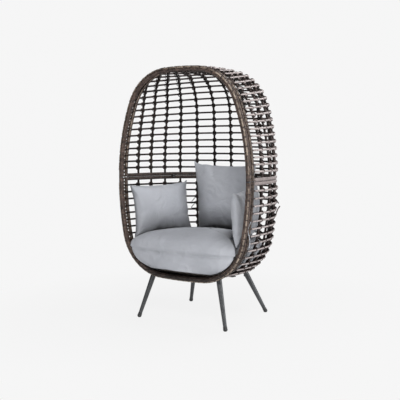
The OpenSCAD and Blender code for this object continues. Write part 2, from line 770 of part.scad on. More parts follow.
// A pillow's size is its width, height, thickness and taper
function pillow_point(size, i, j, face) =
    let (
        u = sin(90 * (2 * i / pillow_cells - 1)),
        v = sin(90 * (2 * j / pillow_cells - 1)),
        thick = face * size[2] / 2 * pow(max((1 - u * u) * (1 - v * v), 0), 0.42)
    )
    [
        size[0] / 2 * u * (1 - draw_in * (1 - v * v)) * (1 - size[3] * (1 - v) / 2),
        thick,
        size[1] / 2 * v * (1 - draw_in * (1 - u * u))
    ];
module pillow(size) {
    n = pillow_cells;
    points = [for (face = [-1, 1], i = [0:n], j = [0:n]) pillow_point(size, i, j, face)];
    edge = function (i, j) i == 0 || j == 0 || i == n || j == n;
    at = function (f, i, j) edge(i, j) ? i * (n + 1) + j : f * (n + 1) * (n + 1) + i * (n + 1) + j;
    // Each cell is split from its outer corner inwards, so that the two faces meet only along the seam
    faces = [
        for (f = [0, 1], i = [0:n - 1], j = [0:n - 1])
            let (
                p = [at(f, i, j), at(f, i + 1, j), at(f, i + 1, j + 1), at(f, i, j + 1)],
                q = (i < n / 2) == (j < n / 2) ? p : [p[1], p[2], p[3], p[0]]
            )
            each (f == 0 ? [[q[0], q[2], q[1]], [q[0], q[3], q[2]]]
                         : [[q[0], q[1], q[2]], [q[0], q[2], q[3]]])
    ];
    polyhedron(points, faces);
}
// A pillow is rolled in its own plane, leaned back, and then turned about Z
function rolled(p, roll) =
    [p[0] * cos(roll) + p[2] * sin(roll), p[1], p[2] * cos(roll) - p[0] * sin(roll)];
function leaned(p, lean) =
    [p[0], p[1] * cos(lean) - p[2] * sin(lean), p[1] * sin(lean) + p[2] * cos(lean)];
function turned(p, turn) =
    [p[0] * cos(turn) - p[1] * sin(turn), p[0] * sin(turn) + p[1] * cos(turn), p[2]];
// A point inside the cell that starts at corner i, j
function cell_point(size, i, j, a, b, face) =
    (1 - a) * (1 - b) * pillow_point(size, i, j, face) + a * (1 - b) * pillow_point(size, i + 1, j, face)
    + (1 - a) * b * pillow_point(size, i, j + 1, face) + a * b * pillow_point(size, i + 1, j + 1, face);
// The height at which a pillow just rests on the seat cushion, found over its lower part
function rest_z(size, place, pose) =
    max([
        for (i = [0:pillow_cells - 1], j = [0:pillow_cells / 2 - 2], a = [0, 0.5], b = [0, 0.5], face = [-1, 1])
            let (
                q = cell_point(size, i, j, a, b, face),
                p = turned(leaned(rolled(q, pose[0]), pose[1]), pose[2])
            )
            seat_height(place[0] + p[0], place[1] + p[1]) - p[2]
    ]) + seat_gap;
module placed_pillow(size, place, pose) {
    at_rim()
        translate([place[0], place[1], rest_z(size, place, pose)])
            rotate([0, 0, pose[2]])
                rotate([pose[1], 0, 0])
                    rotate([0, pose[0], 0])
                        color("#b4b6ba") pillow(size);
}
// Roll, lean and turn of each pillow, in degrees
back_pillow_pose = [1, 2, 0];
left_pillow_pose = [-1, -7, 75];
right_pillow_pose = [4, 2, -76];
back_pillow_size = [back_pillow_w, back_pillow_h, back_pillow_t, back_pillow_taper];
left_pillow_size = [side_pillow_w, left_pillow_h, side_pillow_t, 0];
right_pillow_size = [side_pillow_w, right_pillow_h, side_pillow_t, 0];
back_pillow_place = [-26, shell_d - 135];
left_pillow_place = [-(shell_w / 2 - 125.5), 266];
right_pillow_place = [shell_w / 2 - 156, 226];
module back_pillow() placed_pillow(back_pillow_size, back_pillow_place, back_pillow_pose);
module left_pillow() placed_pillow(left_pillow_size, left_pillow_place, left_pillow_pose);
module right_pillow() placed_pillow(right_pillow_size, right_pillow_place, right_pillow_pose);

tie_count_low = floor((path_len(rim_low) - low_first_rim) / rim_low_pitch);

rim_tube(rim_up);  // upper_rim_tube
rim_wrap(rim_up);  // upper_rim_wrap
hoop(rim_up);  // upper_hoop
seam_rail(1);  // upper_seam_rail
ribs_of(upper_stops, rib_gather);  // upper_ribs
strands_of(upper_levels, upper_outer, rib_gather);  // upper_strands
rim_ties(rim_up, first_rim, rim_pitch, upper_rows);  // upper_rim_ties
seam_tabs(1);  // upper_seam_tabs
rim_tube(rim_low);  // lower_rim_tube
rim_wrap(rim_low);  // lower_rim_wrap
hoop(rim_low);  // lower_hoop
seam_rail(-1);  // lower_seam_rail
ribs_of(lower_stops, 1);  // lower_ribs
strands_of(lower_levels, lower_outer, 1);  // lower_strands
rim_ties(rim_low, low_first_rim, rim_low_pitch, tie_count_low);  // lower_rim_ties
seam_tabs(-1);  // lower_seam_tabs
rim_spigots();
rim_screws();
seam_bolts();
seam_nuts();
base_ring();
front_bar();
rear_bar();
seat_deck();
front_apron();
leg_sockets();
leg_screws();
leg(0, 1);  // leg_front_left
leg(0, 0);  // leg_front_right
leg(1, 1);  // leg_rear_left
leg(1, 0);  // leg_rear_right
foot(0, 1);  // foot_front_left
foot(0, 0);  // foot_front_right
foot(1, 1);  // foot_rear_left
foot(1, 0);  // foot_rear_right
seat_cushion();
back_pillow();
left_pillow();
right_pillow();
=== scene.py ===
import math

import bmesh
import bpy
import numpy as np
from mathutils import Matrix, Vector
from mathutils.bvhtree import BVHTree
from mathutils.kdtree import KDTree


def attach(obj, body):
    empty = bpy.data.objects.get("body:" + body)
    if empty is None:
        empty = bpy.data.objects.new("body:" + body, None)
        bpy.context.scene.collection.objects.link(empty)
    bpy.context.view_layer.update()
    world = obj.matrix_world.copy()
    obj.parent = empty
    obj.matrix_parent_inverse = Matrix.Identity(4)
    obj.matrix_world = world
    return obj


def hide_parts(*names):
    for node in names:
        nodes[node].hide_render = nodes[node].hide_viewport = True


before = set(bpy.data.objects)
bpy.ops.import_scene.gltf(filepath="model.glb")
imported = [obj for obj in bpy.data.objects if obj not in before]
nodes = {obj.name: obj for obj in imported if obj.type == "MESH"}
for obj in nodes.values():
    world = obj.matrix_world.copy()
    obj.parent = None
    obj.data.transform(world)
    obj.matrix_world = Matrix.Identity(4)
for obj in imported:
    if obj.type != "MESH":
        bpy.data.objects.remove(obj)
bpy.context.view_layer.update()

# Sizes of the frame and the wicker, with the same names as in the part's source: lengths in metres and
# turns in degrees
shell_w = 0.920
seam_z = 0.850
rim_side_r = 1.270
rim_side_turn = 21
shoulder_r = 0.300
shoulder_end = 86
rim_low_r = 1.850
rim_low_turn = 10.8
corner_r = 0.302
corner_end = 87
rim_r = 0.015
hoop_r = 0.010
hoop_back = 0.046
seam_gap = 0.002
shell_d = 0.665
seam_drop = 0.010
back_r = 3.800
back_turn = 6.2
crown_r = 0.260
crown_end = 87.5
back_low_r = 20.0
back_low_turn = 1.05
under_r = 0.235
squareness = 2.65
rib_r = 0.0065
ribs_per_side = 7
rib_gather = 0.75
strand_r = 0.00475
upper_rows = 21
wall_rows = 16
lower_rows = 13
first_rim = 0.056
first_back = 0.054
rim_pitch = 0.0385
back_pitch = 0.0455
rim_low_pitch = 0.0425
low_first_rim = 0.050
ring_turn = 63
rail_r = 0.010
ring_r = 0.009
deck_t = 0.008
seat_edge_h = 0.124
leg_top_r = 0.016
front_leg_turn = 70.5
gap = 0.0003
seat_overhang = 0.062
strand_off = rib_r + strand_r + gap
rim_y = -(shell_d + strand_off + strand_r - seat_overhang) / 2
lattice_y = hoop_back + hoop_r + gap
rail_z = seam_gap / 2 + rail_r

# Lines of the shell, measured from the plane of the rim


def cosd(a):
    return math.cos(math.radians(a))


def sind(a):
    return math.sin(math.radians(a))


def arcs(half, z, r1, turn1, r2, turn2, side):
    """Three tangent arcs from the seam to the middle line, each (centre, radius, start, end)."""
    c1 = (half - r1, z)
    e1 = (c1[0] + r1 * cosd(turn1), c1[1] + side * r1 * sind(turn1))
    c2 = (e1[0] - r2 * cosd(turn1), e1[1] - side * r2 * sind(turn1))
    e2 = (c2[0] + r2 * cosd(turn2), c2[1] + side * r2 * sind(turn2))
    r3 = e2[0] / cosd(turn2)
    c3 = (0, e2[1] - side * r3 * sind(turn2))
    return [
        (c1, r1, 0, side * turn1),
        (c2, r2, side * turn1, side * turn2),
        (c3, r3, side * turn2, side * 90),
    ]


def arc_length(arc):
    return math.radians(abs(arc[3] - arc[2])) * arc[1]


def length_of(line):
    return sum(arc_length(arc) for arc in line)


def point_on(line, s, off=0.0):
    for arc in line[:-1]:
        if s <= arc_length(arc):
            break
        s -= arc_length(arc)
    else:
        arc = line[-1]
    angle = arc[2] + (arc[3] - arc[2]) * s / arc_length(arc)
    return (arc[0][0] + (arc[1] + off) * cosd(angle), arc[0][1] + (arc[1] + off) * sind(angle))


half_w = shell_w / 2 - rim_r
back_z = seam_z - seam_drop
rim_up = arcs(half_w, seam_z, rim_side_r - rim_r, rim_side_turn, shoulder_r - rim_r, shoulder_end, 1)
rim_low = arcs(half_w, seam_z, rim_low_r - rim_r, rim_low_turn, corner_r - rim_r, corner_end, -1)
back_up = arcs(shell_d, back_z, back_r, back_turn, crown_r, crown_end, 1)
back_low = arcs(shell_d, back_z, back_low_r, back_low_turn, under_r, crown_end, -1)

crown_start = first_back + back_pitch * (wall_rows - 1)
crown_pitch = (length_of(back_up) - crown_start) / (upper_rows - wall_rows + 1.5)
ring_s = arc_length(back_low[0]) + under_r * math.radians(ring_turn - back_low_turn)
low_back_pitch = (ring_s - first_back) / lower_rows
rail_edge = rail_z + rail_r


def level(rim, back, s_rim, s_back, off=0.0):
    """One loop round the shell: half its width, its height in front, its depth and its height behind."""
    front, rear = point_on(rim, s_rim, off), point_on(back, s_back, off)
    return (front[0], front[1], rear[0], rear[1])


def up_level(k, off=0.0):
    if k < 0:
        return level(rim_up, back_up, rail_edge, rail_edge, off)
    s_back = first_back + back_pitch * k if k < wall_rows else crown_start + crown_pitch * (k - wall_rows + 1)
    return level(rim_up, back_up, first_rim + rim_pitch * k, s_back, off)


def low_level(k, off=0.0):
    if k < 0:
        return level(rim_low, back_low, rail_edge, rail_edge, off)
    return level(rim_low, back_low, low_first_rim + rim_low_pitch * k, first_back + low_back_pitch * k, off)


def on_level(v, t):
    c, s = cosd(t), sind(t)
    r = (abs(c) ** squareness + abs(s) ** squareness) ** (-1 / squareness)
    y = v[2] * s * r
    return Vector((v[0] * c * r, y + rim_y, v[1] + (v[3] - v[1]) * y / v[2]))


def measured(v):
    """Angles, lengths from the back's middle, and depths, round a quarter of a level."""
    angle = np.linspace(90, 0, 91)
    p = np.array([on_level(v, t) for t in angle])
    run = np.concatenate([[0], np.cumsum(np.linalg.norm(np.diff(p, axis=0), axis=1))])
    return angle, run, p[:, 1] - rim_y


def end_angle(v):
    """The angle at which a level reaches the back of the second hoop."""
    angle, run, depth = measured(v)
    return float(np.interp(lattice_y, depth[::-1], angle[::-1]))


seam_level = (half_w, seam_z, shell_d, back_z)
ring_level = low_level(lower_rows)
seam_half = measured(seam_level)[1][-1]
rib_pitch = (seam_half - hoop_back) / (ribs_per_side + 0.5)
base_tilt = math.degrees(math.atan2(ring_level[1] - ring_level[3], ring_level[2]))


def rib_angle(v, j, gather):
    angle, run, depth = measured(v)
    return float(np.interp(rib_pitch * (j + 0.5) * (run[-1] / seam_half) ** gather, run, angle))


# Paths of the wicker


def round_the_rim(line, y, start):
    """From the seam on the right, over the middle, to the seam on the left."""
    right = [point_on(line, s) for s in np.linspace(start, length_of(line), 80)]
    path = [(x, y + rim_y, z) for x, z in right]
    return path + [(-x, y + rim_y, z) for x, z in reversed(right[:-1])]


def round_the_shell(v, lift=0.0):
    end = end_angle(v)
    return [on_level(v, t) + Vector((0, 0, lift)) for t in np.linspace(end, 180 - end, 61)]


upper_levels = [up_level(k) for k in range(upper_rows)]
upper_outer = [up_level(k, strand_off) for k in range(upper_rows)]
lower_levels = [low_level(k) for k in range(lower_rows)]
lower_outer = [low_level(k, strand_off) for k in range(lower_rows)]
ring_short = level(rim_low, back_low, low_first_rim + rim_low_pitch * lower_rows - ring_r,
                   first_back + low_back_pitch * lower_rows - ring_r)
upper_stops = [up_level(-1)] + upper_levels + [up_level(upper_rows - 0.2), up_level(upper_rows + 0.3)]
lower_stops = [low_level(-1)] + lower_levels + [ring_short]


def rib_lines(stops, gather):
    lines = []
    near = lattice_y + rim_y + rib_r
    for j in range(ribs_per_side):
        points = [on_level(v, rib_angle(v, j, gather)) for v in stops]
        kept = [p for p in points if p.y > near + rib_r]
        if len(kept) < len(points):
            a, b = kept[-1], points[len(kept)]
            kept.append(a + (b - a) * (a.y - near) / max(a.y - b.y, rib_r))
        lines.append(kept)
        lines.append([Vector((-p.x, p.y, p.z)) for p in kept])
    return lines


def evenly(points, step):
    """Points at equal steps along a smooth line through the given ones."""
    p = np.array(points, float)
    p = np.vstack([2 * p[0] - p[1], p, 2 * p[-1] - p[-2]])
    fine = []
    for i in range(1, len(p) - 2):
        a, b, c, d = p[i - 1:i + 3]
        for t in np.linspace(0, 1, 12, endpoint=False):
            square = (2 * a - 5 * b + 4 * c - d) * t ** 2
            cube = (3 * b - a - 3 * c + d) * t ** 3
            fine.append(0.5 * (2 * b + (c - a) * t + square + cube))
    fine.append(p[-2])
    fine = np.array(fine)
    run = np.concatenate([[0], np.cumsum(np.linalg.norm(np.diff(fine, axis=0), axis=1))])
    at = np.linspace(0, run[-1], max(int(round(run[-1] / step)), 2) + 1)
    return np.stack([np.interp(at, run, fine[:, i]) for i in range(3)], 1)


# Building blocks


def finish_piece(obj, body, material, cad=()):
    obj.data.materials.clear()
    obj.data.materials.append(material)
    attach(obj, body)
    if cad:
        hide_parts(*cad)
    return obj


def new_object(name, mesh):
    obj = bpy.data.objects.new(name, mesh)
    bpy.context.scene.collection.objects.link(obj)
    return obj


def mark(mesh, name, values):
    mesh.attributes.new(name, "FLOAT", "POINT").data.foreach_set("value", np.asarray(values, np.float32))


def wound(name, paths, radius, pitch, shape, detail, lean=0.0):
    """Rods wound with strip: shape is the radius at equal steps along each turn, as shares of the rod's."""
    curve = bpy.data.curves.new(name, "CURVE")
    curve.dimensions = "3D"
    curve.bevel_depth = radius
    curve.bevel_resolution = detail
    curve.resolution_u = 1
    runs, rods, centres, tangents = [], [], [], []
    for number, path in enumerate(paths):
        p = evenly(path, pitch / len(shape))
        spline = curve.splines.new("POLY")
        spline.points.add(len(p) - 1)
        spline.points.foreach_set("co", np.column_stack([p, np.ones(len(p))]).ravel())
        spline.points.foreach_set("radius", np.resize(shape, len(p)))
        step = np.linalg.norm(np.diff(p, axis=0), axis=1)
        runs.append(np.concatenate([[0], np.cumsum(step)]))
        rods.append(np.full(len(p), number))
        centres.append(p)
        tangents.append(np.gradient(p, axis=0))
    source = new_object(name, curve)
    mesh = bpy.data.meshes.new_from_object(source.evaluated_get(bpy.context.evaluated_depsgraph_get()))
    bpy.data.objects.remove(source)
    run = np.concatenate(runs)
    sides = len(mesh.vertices) // len(run)
    co = np.empty(len(mesh.vertices) * 3, np.float32)
    mesh.vertices.foreach_get("co", co)
    co = co.reshape(-1, 3)
    # Each turn leans forward on the outside, as strip wound on at a slant does
    centre = np.repeat(np.concatenate(centres), sides, 0)
    along = np.repeat(np.concatenate(tangents), sides, 0)
    along /= np.linalg.norm(along, axis=1)[:, None]
    out = centre - np.array([0, rim_y + shell_d * 0.45, seam_z])
    out -= (out * along).sum(1)[:, None] * along
    out /= np.linalg.norm(out, axis=1)[:, None]
    co += along * (lean * ((co - centre) * out).sum(1))[:, None]
    mesh.vertices.foreach_set("co", co.ravel())
    mark(mesh, "run", np.repeat(run, sides))
    mark(mesh, "rod", np.repeat(np.concatenate(rods), sides))
    bm = bmesh.new()
    bm.from_mesh(mesh)
    bmesh.ops.holes_fill(bm, edges=[e for e in bm.edges if e.is_boundary], sides=0)
    bmesh.ops.recalc_face_normals(bm, faces=bm.faces)
    bm.to_mesh(mesh)
    bm.free()
    mesh.polygons.foreach_set("use_smooth", np.ones(len(mesh.polygons), bool))
    mesh.materials.clear()
    return new_object(name, mesh)


def copies(name, template, places):
    """One piece that holds the small template at each of the given places."""
    small = bpy.data.meshes.new(name + "_one")
    template.to_mesh(small)
    template.free()
    bm = bmesh.new()
    run = bm.verts.layers.float.new("run")
    rod = bm.verts.layers.float.new("rod")
    for i, place in enumerate(places):
        known = len(bm.verts)
        bm.from_mesh(small)
        bm.verts.ensure_lookup_table()
        fresh = bm.verts[known:]
        bmesh.ops.transform(bm, matrix=place, verts=fresh)
        for v in fresh:
            v[run] = 0.37 * i
            v[rod] = i
    mesh = bpy.data.meshes.new(name)
    bm.to_mesh(mesh)
    bm.free()
    bpy.data.meshes.remove(small)
    mesh.polygons.foreach_set("use_smooth", np.ones(len(mesh.polygons), bool))
    return new_object(name, mesh)


def band(width, thick, steps=10):
    """A flat ring of strip round the Z axis: its radius is 1, and its thickness a share of that."""
    bm = bmesh.new()
    bmesh.ops.create_circle(bm, segments=4, radius=1, matrix=Matrix.Rotation(math.radians(45), 4, "Z"))
    bmesh.ops.scale(bm, vec=(thick / 1.414, width / 1.414, 1), verts=bm.verts)
    bmesh.ops.rotate(bm, cent=(0, 0, 0), matrix=Matrix.Rotation(math.radians(90), 3, "X"), verts=bm.verts)
    bmesh.ops.translate(bm, vec=(1, 0, 0), verts=bm.verts)
    bmesh.ops.spin(bm, geom=bm.edges[:], cent=(0, 0, 0), axis=(0, 0, 1), angle=math.tau, steps=steps,
                   use_merge=True)
    bmesh.ops.remove_doubles(bm, verts=bm.verts, dist=1e-5)
    bmesh.ops.recalc_face_normals(bm, faces=bm.faces)
    return bm


def dash(length, width, thick):
    """A short flat length of strip with softened edges."""
    bm = bmesh.new()
    bmesh.ops.create_cube(bm, size=1)
    bmesh.ops.scale(bm, vec=(length, width, thick), verts=bm.verts)
    bmesh.ops.bevel(bm, geom=bm.edges[:], offset=thick * 0.4, segments=1, affect="EDGES", profile=0.5,
                    material=-1)
    return bm


# Materials


def shader(name, base, roughness, **sockets):
    mat = bpy.data.materials.new(name)
    mat.use_nodes = True
    bsdf = mat.node_tree.nodes["Principled BSDF"]
    bsdf.inputs["Base Color"].default_value = (*base, 1)
    bsdf.inputs["Roughness"].default_value = roughness
    for key, value in sockets.items():
        bsdf.inputs[key.replace("_", " ")].default_value = value
    return mat, mat.node_tree, bsdf


def put(tree, kind, **values):
    node = tree.nodes.new(kind)
    for key, value in values.items():
        if hasattr(node, key):
            setattr(node, key, value)
        else:
            node.inputs[key.replace("_", " ")].default_value = value
    return node


def math_node(tree, operation, a, b=None, c=None):
    """A maths node whose inputs are numbers or the outputs of other nodes."""
    node = tree.nodes.new("ShaderNodeMath")
    node.operation = operation
    for socket, value in zip(node.inputs, (a, b, c)):
        if value is None:
            continue
        if isinstance(value, (int, float)):
            socket.default_value = value
        else:
            tree.links.new(value, socket)
    return node.outputs[0]


def ramp(tree, value, stops):
    node = tree.nodes.new("ShaderNodeValToRGB")
    while len(node.color_ramp.elements) < len(stops):
        node.color_ramp.elements.new(0.5)
    for element, (at, colour) in zip(node.color_ramp.elements, stops):
        element.position = at
        element.color = (*colour, 1)
    tree.links.new(value, node.inputs["Fac"])
    return node.outputs["Color"]


def noise(tree, place, scale, detail=3.0, roughness=0.5):
    node = put(tree, "ShaderNodeTexNoise", Scale=scale, Detail=detail, Roughness=roughness)
    tree.links.new(place, node.inputs["Vector"])
    return node.outputs["Fac"]


def bump(tree, bsdf, height, strength, distance):
    node = put(tree, "ShaderNodeBump", Strength=strength, Distance=distance)
    tree.links.new(height, node.inputs["Height"])
    tree.links.new(node.outputs["Normal"], bsdf.inputs["Normal"])


def wicker(name, dark, light, pitch, roughness=0.48, depth=0.5, painted_outside_light=None, varied=0.3, gloss=0.4,
           painted_shade=0.0):
    """Moulded strip: a shade for each rod and each turn, fine grain, and a dark line between turns; where
    asked, painted shade towards the rim's bottom and painted light on outward faces.
    """
    mat, tree, bsdf = shader(name, light, roughness, Specular_IOR_Level=gloss)
    link = tree.links.new
    run = put(tree, "ShaderNodeAttribute", attribute_name="run").outputs["Fac"]
    rod = put(tree, "ShaderNodeAttribute", attribute_name="rod").outputs["Fac"]
    place = put(tree, "ShaderNodeTexCoord").outputs["Object"]
    turns = math_node(tree, "DIVIDE", run, pitch)
    each_turn = put(tree, "ShaderNodeTexWhiteNoise", noise_dimensions="1D")
    link(math_node(tree, "FLOOR", turns), each_turn.inputs["W"])
    each_rod = put(tree, "ShaderNodeTexWhiteNoise", noise_dimensions="1D")
    link(math_node(tree, "ADD", rod, 0.31), each_rod.inputs["W"])
    patches = noise(tree, place, 9.0)
    mottle = noise(tree, place, 85.0, 2.0)
    grain = noise(tree, place, 420.0, 4.0, 0.65)
    shade = math_node(tree, "MULTIPLY_ADD", each_turn.outputs["Value"], 0.3, -0.28)
    for part, weight in ((each_rod.outputs["Value"], varied), (patches, 0.3), (mottle, 0.8), (grain, 0.3)):
        shade = math_node(tree, "MULTIPLY_ADD", part, weight, shade)
    # Painted shade: the strip is darker towards the lowest point of the rim
    if painted_shade:
        height = tree.nodes.new("ShaderNodeSeparateXYZ")
        link(place, height.inputs[0])
        low = put(tree, "ShaderNodeMapRange", From_Min=rim_bottom, From_Max=rim_bottom + painted_shade_height,
                  To_Min=painted_shade, To_Max=0.0)
        link(height.outputs["Z"], low.inputs["Value"])
        shade = math_node(tree, "SUBTRACT", shade, low.outputs["Result"])
    middle = tuple(a * 0.65 + b * 0.35 for a, b in zip(dark, light))
    colour = ramp(tree, shade, [(0.3, dark), (0.6, middle), (0.9, light)])
    if painted_outside_light is not None:
        # Painted light and shade: paler where it faces outward, away from the sitter, and dark where it faces
        # inward
        away = put(tree, "ShaderNodeVectorMath", operation="SUBTRACT")
        away.inputs[1].default_value = (0, rim_y + sitter_depth, seam_z)
        link(place, away.inputs[0])
        unit = put(tree, "ShaderNodeVectorMath", operation="NORMALIZE")
        link(away.outputs[0], unit.inputs[0])
        facing = put(tree, "ShaderNodeVectorMath", operation="DOT_PRODUCT")
        link(unit.outputs[0], facing.inputs[0])
        link(put(tree, "ShaderNodeNewGeometry").outputs["Normal"], facing.inputs[1])
        side = put(tree, "ShaderNodeMapRange", From_Min=-0.05, From_Max=0.4)
        link(facing.outputs["Value"], side.inputs["Value"])
        wear_and_painted_light = put(tree, "ShaderNodeMix", data_type="RGBA")
        link(side.outputs["Result"], wear_and_painted_light.inputs["Factor"])
        link(colour, wear_and_painted_light.inputs["A"])
        link(ramp(tree, shade, [(0.25, painted_outside_light[0]), (0.85, painted_outside_light[1])]), wear_and_painted_light.inputs["B"])
        colour = wear_and_painted_light.outputs["Result"]
    link(colour, bsdf.inputs["Base Color"])
    ridge = math_node(tree, "PINGPONG", turns, 0.5)
    bump(tree, bsdf, math_node(tree, "MULTIPLY_ADD", grain, 0.25, ridge), depth, 0.0012)
    return mat


def plain_weave(name, dark, light, count, strength=0.35, distance=0.0006, crumple_and_contact_shade=0.0):
    """Flat woven cloth or net: threads counted to the metre, on Object coordinates; crumpled cloth also gets
    painted contact shade.
    """
    mat, tree, bsdf = shader(name, light, 0.85, Specular_IOR_Level=0.25, Sheen_Weight=0.25,
                             Sheen_Roughness=0.5)
    place = put(tree, "ShaderNodeTexCoord").outputs["Object"]
    waves = []
    for axis in ("X", "Y", "Z"):
        wave = put(tree, "ShaderNodeTexWave", wave_type="BANDS", bands_direction=axis, Scale=count / 6.283,
                   Distortion=0.6, Detail=1.0, Detail_Scale=2.0)
        tree.links.new(place, wave.inputs["Vector"])
        waves.append(wave.outputs["Fac"])
    slub = noise(tree, place, 260.0, 5.0, 0.7)
    cloudy = noise(tree, place, 5.0)
    shade = math_node(tree, "MULTIPLY_ADD", slub, 0.5, cloudy)
    woven = ramp(tree, shade, [(0.45, dark), (1.0, light)])
    if crumple_and_contact_shade:
        # Painted shade: the colour is darkened by ambient occlusion where cloth lies close to other cloth and
        # other pieces
        near = put(tree, "ShaderNodeAmbientOcclusion", samples=8, Distance=0.15)
        contact_shade = put(tree, "ShaderNodeVectorMath", operation="SCALE")
        tree.links.new(woven, contact_shade.inputs[0])
        tree.links.new(math_node(tree, "POWER", near.outputs["AO"], 1.2), contact_shade.inputs["Scale"])
        woven = contact_shade.outputs[0]
    tree.links.new(woven, bsdf.inputs["Base Color"])
    threads = math_node(tree, "MULTIPLY_ADD", waves[1], 0.5, math_node(tree, "MULTIPLY", waves[0], waves[2]))
    height = math_node(tree, "MULTIPLY_ADD", slub, 0.6, threads)
    if crumple_and_contact_shade:
        # Soft shallow creases, many times deeper than a thread
        folds = put(tree, "ShaderNodeTexNoise", Scale=11.0, Detail=2.0, Roughness=0.4, Distortion=1.6)
        tree.links.new(place, folds.inputs["Vector"])
        height = math_node(tree, "MULTIPLY_ADD", folds.outputs["Fac"], crumple_and_contact_shade / distance, height)
    bump(tree, bsdf, height, strength, distance)
    return mat


def coated(name, base, roughness, grain_scale=900.0, metallic=0.0, wear_and_painted_light=0.3):
    """Powder coat, rubber or bare metal, with a fine texture and slightly uneven gloss."""
    mat, tree, bsdf = shader(name, base, roughness, Metallic=metallic)
    place = put(tree, "ShaderNodeTexCoord").outputs["Object"]
    smear = noise(tree, place, 14.0, 4.0)
    pale = tuple(min(c * (1 + wear_and_painted_light), 1) for c in base)
    deep = tuple(c * (1 - wear_and_painted_light) for c in base)
    tree.links.new(ramp(tree, smear, [(0.3, deep), (0.75, pale)]), bsdf.inputs["Base Color"])
    gloss = math_node(tree, "MULTIPLY_ADD", smear, 0.2, roughness - 0.1)
    tree.links.new(gloss, bsdf.inputs["Roughness"])
    bump(tree, bsdf, noise(tree, place, grain_scale, 2.0), 0.12, 0.0003)
    return mat


rim_bottom = point_on(rim_low, length_of(rim_low))[1]
# Painted shade fades out over this height above the rim's lowest point
painted_shade_height = 0.12
sitter_depth = 0.2
rim_turn = 0.0085
rod_turn = 0.0075
# Strip colours: dark for the painted shade on inward faces, pale for the painted light on outward faces
dark_strip = ((0.004, 0.0025, 0.0025), (0.024, 0.016, 0.013))
pale_strip = ((0.15, 0.126, 0.12), (0.42, 0.372, 0.365))
rim_brown = wicker("rim_wicker", (0.010, 0.006, 0.005), (0.13, 0.088, 0.072), rim_turn, painted_shade=0.3)
leader = wicker("leader_wicker", (0.08, 0.058, 0.046), (0.34, 0.277, 0.223), 0.02, roughness=0.42)
hoop_brown = wicker("hoop_wicker", (0.012, 0.008, 0.006), (0.12, 0.085, 0.066), rod_turn, painted_shade=0.3)
rail_brown = wicker("rail_wicker", (0.018, 0.012, 0.011), (0.09, 0.065, 0.055), rod_turn,
                    painted_outside_light=((0.10, 0.082, 0.078), (0.31, 0.265, 0.26)))
rib_brown = wicker("dark_wicker", *dark_strip, rod_turn, gloss=0.2,
                   painted_outside_light=((0.008, 0.006, 0.006), (0.07, 0.05, 0.046)))
binding_grey = wicker("binding_wicker", *dark_strip, rod_turn, gloss=0.2,
                      painted_outside_light=((0.014, 0.011, 0.011), (0.21, 0.18, 0.176)))
binding_pale = wicker("pale_binding_wicker", *dark_strip, rod_turn, gloss=0.2,
                      painted_outside_light=((0.05, 0.042, 0.041), (0.44, 0.385, 0.38)))
strand_pale = wicker("strand_wicker", (0.003, 0.002, 0.002), (0.03, 0.018, 0.015), rod_turn, gloss=0.2,
                     painted_outside_light=pale_strip, varied=0.55)
# Painted shade for the gaps in the rim's winding beside the leader strip
gap_shadow_black = wicker("shadow_wicker", (0.004, 0.003, 0.003), (0.02, 0.014, 0.012), rod_turn)
net = plain_weave("deck_wicker", (0.008, 0.007, 0.006), (0.05, 0.042, 0.036), 260, 0.6, 0.0012)
net_strip = wicker("net_wicker", (0.16, 0.13, 0.12), (0.7, 0.62, 0.6), 0.02)
fabric = plain_weave("cushion_fabric", (0.38, 0.396, 0.438), (0.505, 0.525, 0.574), 900, crumple_and_contact_shade=0.028)
legs_grey = coated("leg_steel", (0.045, 0.048, 0.052), 0.42)
frame_black = coated("frame_steel", (0.02, 0.02, 0.021), 0.5)
zinc = coated("fastener_steel", (0.2, 0.2, 0.205), 0.5, metallic=1.0, wear_and_painted_light=0.1)
rubber = coated("foot_rubber", (0.032, 0.033, 0.035), 0.6, grain_scale=500.0)


def repaint(material, *names):
    for name in names:
        mesh = nodes[name].data
        mesh.materials.clear()
        mesh.materials.append(material)
        mesh.polygons.foreach_set("material_index", np.zeros(len(mesh.polygons), np.int32))


repaint(legs_grey, "leg_front_left", "leg_front_right", "leg_rear_left", "leg_rear_right", "leg_sockets")
repaint(rubber, "foot_front_left", "foot_front_right", "foot_rear_left", "foot_rear_right")
repaint(frame_black, "upper_rim_tube", "lower_rim_tube", "front_bar", "rear_bar", "upper_seam_tabs",
        "lower_seam_tabs")
repaint(zinc, "rim_spigots", "rim_screws", "seam_bolts", "seam_nuts", "leg_screws")
repaint(net, "seat_deck", "front_apron")

# Wound rims, hoops, rails and base ring
winding = [0.93, 1.0, 1.0]
winding_lean = 0.22
seam_show = 0.0026
hairline = 0.0001
for half, line in (("upper", rim_up), ("lower", rim_low)):
    rim = wound(half + "_rim_winding", [round_the_rim(line, 0, seam_show)], rim_r, rim_turn, winding, 6,
                winding_lean)
    finish_piece(rim, "shell", rim_brown, [half + "_rim_wrap"])
    hoop = wound(half + "_hoop_winding", [round_the_rim(line, hoop_back, seam_show)], hoop_r, rod_turn,
                 winding, 4, winding_lean)
    finish_piece(hoop, "shell", hoop_brown, [half + "_hoop"])
for half, side in (("upper", 1), ("lower", -1)):
    rail = wound(half + "_rail_winding", [round_the_shell(seam_level, side * rail_z)], rail_z - hairline,
                 rod_turn, winding, 4, winding_lean)
    finish_piece(rail, "shell", rail_brown, [half + "_seam_rail"])
ring = wound("base_ring_winding", [round_the_shell(ring_level)], ring_r, rod_turn, winding, 4, winding_lean)
finish_piece(ring, "shell", rail_brown, ["base_ring"])

